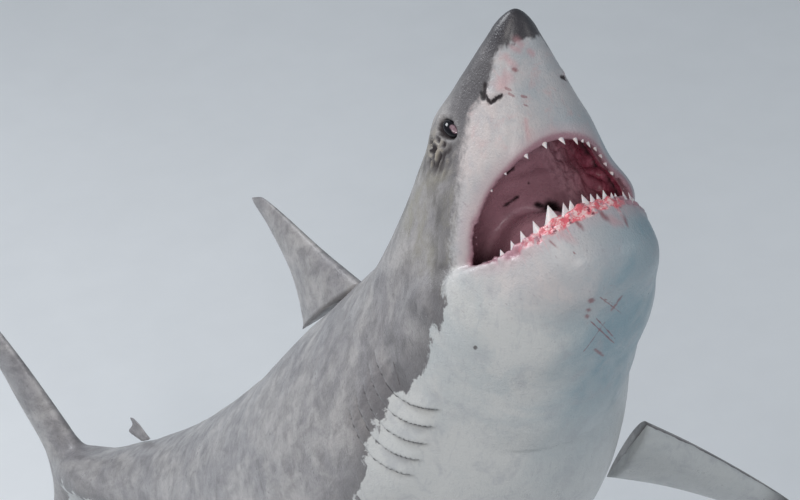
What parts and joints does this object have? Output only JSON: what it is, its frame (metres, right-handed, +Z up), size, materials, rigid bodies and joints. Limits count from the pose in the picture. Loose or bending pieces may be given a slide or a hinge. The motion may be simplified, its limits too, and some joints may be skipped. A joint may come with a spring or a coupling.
{
  "type": "great white shark model",
  "caption": "Life-size still model of a great white shark that rises steeply with its mouth wide open, on a flat-based display stand with two rods.",
  "frame": {"origin": "middle of the display stand's underside, on the floor", "axes": "+Z up, the animal heads along -Y and its own left is +X"},
  "size_m": [1.8935, 3.6019, 3.5235],
  "materials": {
    "skin": "wet-looking painted skin, grey above and cream white below, with a ragged edge between them",
    "jaw_skin": "wet-looking cream white skin with red gum and scratches",
    "mouth": "wet-looking brownish red lining",
    "teeth": "satin off-white",
    "eye": "polished black",
    "rod": "brushed",
    "base": "satin dark grey paint"
  },
  "bodies": {
    "root": {"head": "skin", "gill_region": "skin", "trunk_front": "skin", "trunk_middle": "skin", "trunk_rear": "skin", "tail_stalk": "skin", "lower_jaw": "jaw_skin", "tongue": "mouth", "eye_left": "eye", "eye_right": "eye", "pectoral_fin_left": "skin", "pectoral_fin_right": "skin", "pelvic_fin_left": "skin", "pelvic_fin_right": "skin", "first_dorsal_fin": "skin", "second_dorsal_fin": "skin", "anal_fin": "skin", "tail_fin_upper": "skin", "tail_fin_lower": "skin", "stand_rod_front": "rod", "stand_rod_rear": "rod", "stand_flange_front": "rod", "stand_flange_rear": "rod", "stand_base": "base"}
  },
  "joints": []
}
